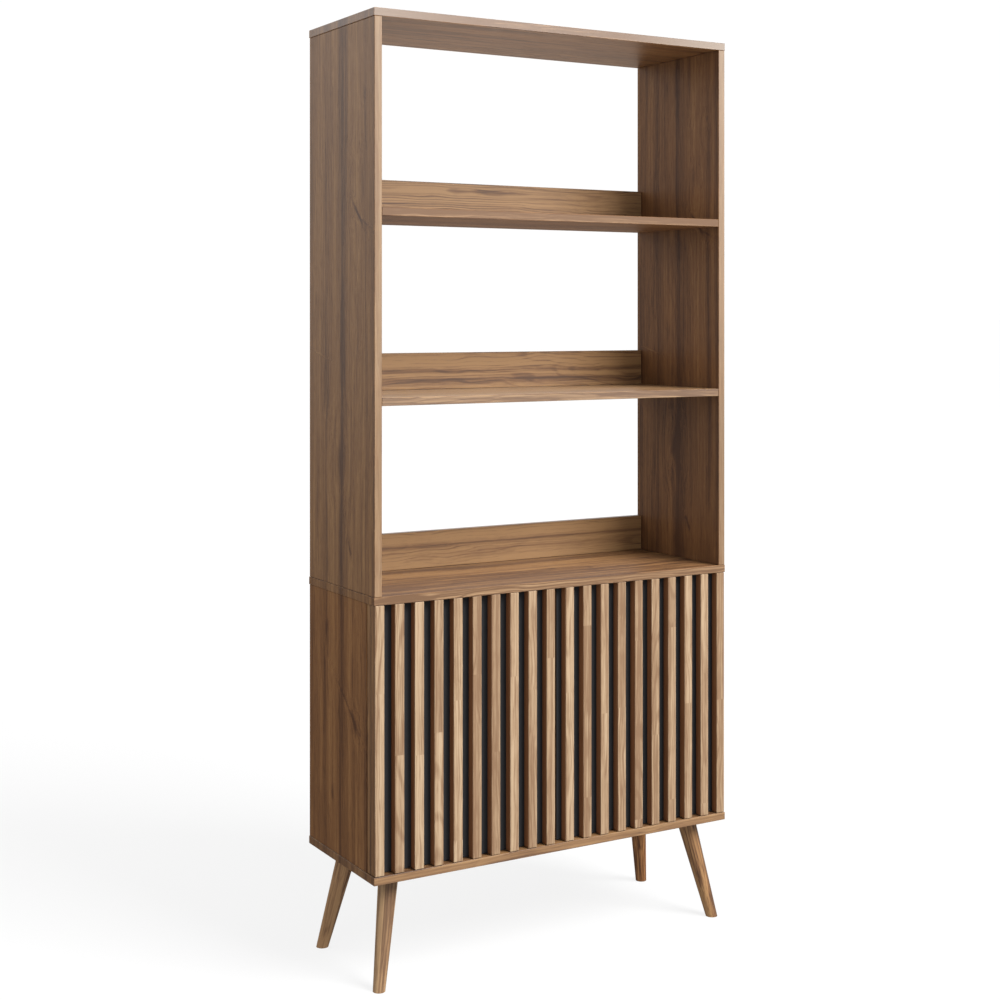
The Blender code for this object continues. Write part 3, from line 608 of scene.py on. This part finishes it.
def dress_all():
    level = {
        # Painted light: the underside lifts of the top and the high shelf and the upper face lift of the
        # low shelf lighten those faces; the warmth of the top and the high shelf is partly the painted
        # warmer hue of the shade under them.
        "upper_top": dict(
            lift=0.02, edge_lift=-0.60, painted_underside_light=0.18, under_rougher=-0.02, gloss=0.6, edge=0.55,
            fine=2.0, figure=0.8, warmth=0.22, painted_sheen=(0.30, 0.08, 0.55),
        ),
        "upper_shelf_high": dict(
            lift=0.05, edge_lift=-0.46, painted_underside_light=0.14, under_rougher=0.13, gloss=0.3, edge=0.6,
            fine=1.4, figure=0.6, warmth=0.22,
        ),
        "upper_shelf_low": dict(
            lift=0.35, edge_lift=-0.28, rougher=-0.08, gloss=0.8, edge=0.5,
            fine=1.5, figure=0.8,
        ),
        "cabinet_top": dict(
            lift=0.05, edge_lift=-0.10, gloss=0.14, edge=0.55,
            fine=1.5, figure=1.2, warmth=0.08,
        ),
        "cabinet_bottom": dict(lift=0.10, edge_lift=0.18, edge=0.2),
        "inner_shelf": dict(),
        "back_rail_high": dict(
            edge_lift=0.36, rougher=-0.10, gloss=0.5, edge=0.2,
            bands=0.2, fine=0.9, figure=1.6, warmth=0.03,
        ),
        "back_rail_middle": dict(
            edge_lift=0.32, rougher=-0.10, gloss=0.5, edge=0.1,
            bands=0.3, fine=0.9, figure=1.3, warmth=0.05,
        ),
        "back_rail_low": dict(
            edge_lift=0.38, rougher=-0.10, gloss=0.5, edge=0.1,
            bands=0.3, fine=0.9, figure=1.3, warmth=0.07,
        ),
    }
    for seed, (node, wishes) in enumerate(level.items(), start=1):
        low, high = (corner.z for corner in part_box(node))
        streaks = [
            (high - at * (high - low), half * (high - low), depth)
            for at, half, depth in RAIL_STREAKS.get(node, ())
        ]
        dress(node, level_finish(f"walnut {node}", seed, streaks=streaks, **wishes))
    upright = {
        "upper_side_left": dict(gloss=0.20, edge=0.6, lift=0.06, painted_sheen=0.22),
        # painted shade on the inside of the right side: a lower tone, a warmer hue, and a tone that
        # darkens lower down
        "upper_side_right": dict(gloss=0.10, edge=0.5, lift=-0.03, painted_light_rise=0.06, warmth=0.12, painted_sheen=0.4),
        "cabinet_side_left": dict(gloss=0.06, edge=0.0, lift=0.04, warmth=0.12),
        "cabinet_side_right": dict(gloss=0.06, edge=0.0, lift=0.04, warmth=0.12),
    }
    for node, wishes in upright.items():
        dress(node, side_finish(f"walnut {node}", **wishes))
    dress("cabinet_back", back_board_finish("back board"))
    slats = {kind: slat_finish(f"{kind} slat", paleness) for kind, paleness in SLAT_KINDS.items()}
    doors = door_board_finish("door board")
    steel = steel_finish("nickelled steel")
    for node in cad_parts:
        if node.startswith("slat_"):
            side, count = node.split("_")[1:]
            dress(node, slats[slat_kind(side, int(count))])
        if node.startswith("door_board_"):
            dress(node, doors)
        if node.startswith(("hinge_", "leg_plate_")):
            dress(node, steel)
    for seed, (node, wishes) in enumerate(sorted(LEG_WOODS.items()), start=1):
        dress(node, leg_finish(f"wood {node}", leg_axis(node), float(seed), **wishes))


def add_camera():
    data = bpy.data.cameras.new("camera")
    data.sensor_width = SENSOR_WIDTH * MILLIMETRES
    data.lens = CAMERA_LENS * MILLIMETRES
    data.shift_y = HORIZON / IMAGE_SIZE - 0.5
    data.clip_end = 2 * FLOOR_HALF
    camera = bpy.data.objects.new("camera", data)
    camera.location = CAMERA_PLACE
    camera.rotation_euler = (math.pi / 2, 0, CAMERA_TURN)
    bpy.context.scene.collection.objects.link(camera)
    bpy.context.scene.camera = camera


def add_area_light(name, place, target, size, power):
    data = bpy.data.lights.new(name, "AREA")
    data.shape = "SQUARE"
    data.size = size
    data.energy = power
    light = bpy.data.objects.new(name, data)
    light.location = place
    light.rotation_euler = (Vector(target) - Vector(place)).to_track_quat("-Z", "Y").to_euler()
    bpy.context.scene.collection.objects.link(light)
    return light


def add_studio():
    """White surroundings above the horizon, one large soft key light from the front right."""
    world = bpy.data.worlds.new("studio")
    world.use_nodes = True
    graph = Graph(world.node_tree)
    direction = graph.add("ShaderNodeTexCoord").outputs["Generated"]
    right, back, height = graph.parts(direction)
    behind = graph.math("MULTIPLY", graph.spread(right, *BEHIND_FADE), graph.spread(back, *BEHIND_FADE))
    lifted = graph.math("MULTIPLY_ADD", behind, BRIGHT_BEHIND, height)
    strength = graph.spread(lifted, *HORIZON_FADE, GROUND_STRENGTH, SKY_STRENGTH)
    below = graph.spread(height, *BELOW_FADE)
    dimmer = graph.math("MULTIPLY", graph.spread(right, *DIM_FADE), below)
    strength = graph.math("MULTIPLY", strength, graph.spread(dimmer, 0.0, 1.0, 1.0, DIM_RIGHT))
    overhead = graph.spread(height, *OVERHEAD_FADE, 0.0, ZENITH_STRENGTH - SKY_STRENGTH)
    strength = graph.math("ADD", strength, overhead)
    background = world.node_tree.nodes["Background"]
    graph.feed(background.inputs["Color"], graph.blend(below, (1, 1, 1, 1), (*BELOW_COLOR, 1)))
    graph.feed(background.inputs["Strength"], strength)
    bpy.context.scene.world = world
    bpy.context.scene.view_settings.view_transform = "Standard"

    low, high = cad_box
    middle = (Vector(low) + Vector(high)) / 2
    level = math.cos(KEY_ELEVATION)
    towards = Vector((
        level * math.sin(KEY_AZIMUTH),
        -level * math.cos(KEY_AZIMUTH),
        math.sin(KEY_ELEVATION),
    ))
    add_area_light("key", middle + towards * KEY_DISTANCE, middle, KEY_SIZE, KEY_POWER)
    add_area_light("fill", FILL_PLACE, Vector((low[0], middle.y, high[2])), FILL_SIZE, FILL_POWER)
    add_area_light("front", FRONT_PLACE, Vector((middle.x, middle.y, high[2])), FRONT_SIZE, FRONT_POWER)


def add_floor():
    mesh = bpy.data.meshes.new("floor")
    half = FLOOR_HALF
    corners = [(-half, -half, 0), (half, -half, 0), (half, half, 0), (-half, half, 0)]
    mesh.from_pydata(corners, [], [(0, 1, 2, 3)])
    floor = bpy.data.objects.new("floor", mesh)
    bpy.context.scene.collection.objects.link(floor)
    material, graph, shader = new_material("floor")
    place = graph.add("ShaderNodeTexCoord").outputs["Object"]
    # painted light: the floor glows more behind the bookcase, lightening its shadow there
    near = graph.spread(graph.parts(place)[1], *GLOW_DEPTH, *FLOOR_GLOW)
    far = graph.add("ShaderNodeVectorMath", {0: place}, operation="LENGTH").outputs["Value"]
    glow = graph.math("MAXIMUM", near, graph.spread(far, *GLOW_REACH, FLOOR_GLOW[0], FAR_GLOW))
    graph.feed(shader.inputs["Emission Strength"], glow)
    shader.inputs["Base Color"].default_value = (*FLOOR_WHITE, 1.0)
    shader.inputs["Roughness"].default_value = 0.9
    shader.inputs["Specular IOR Level"].default_value = 0.0
    shader.inputs["Emission Color"].default_value = (1, 1, 1, 1)
    mesh.materials.append(material)
    floor.visible_glossy = False


walnut = walnut_group()
side_figure = side_figure_group()

dress_all()
add_camera()
add_studio()
add_floor()
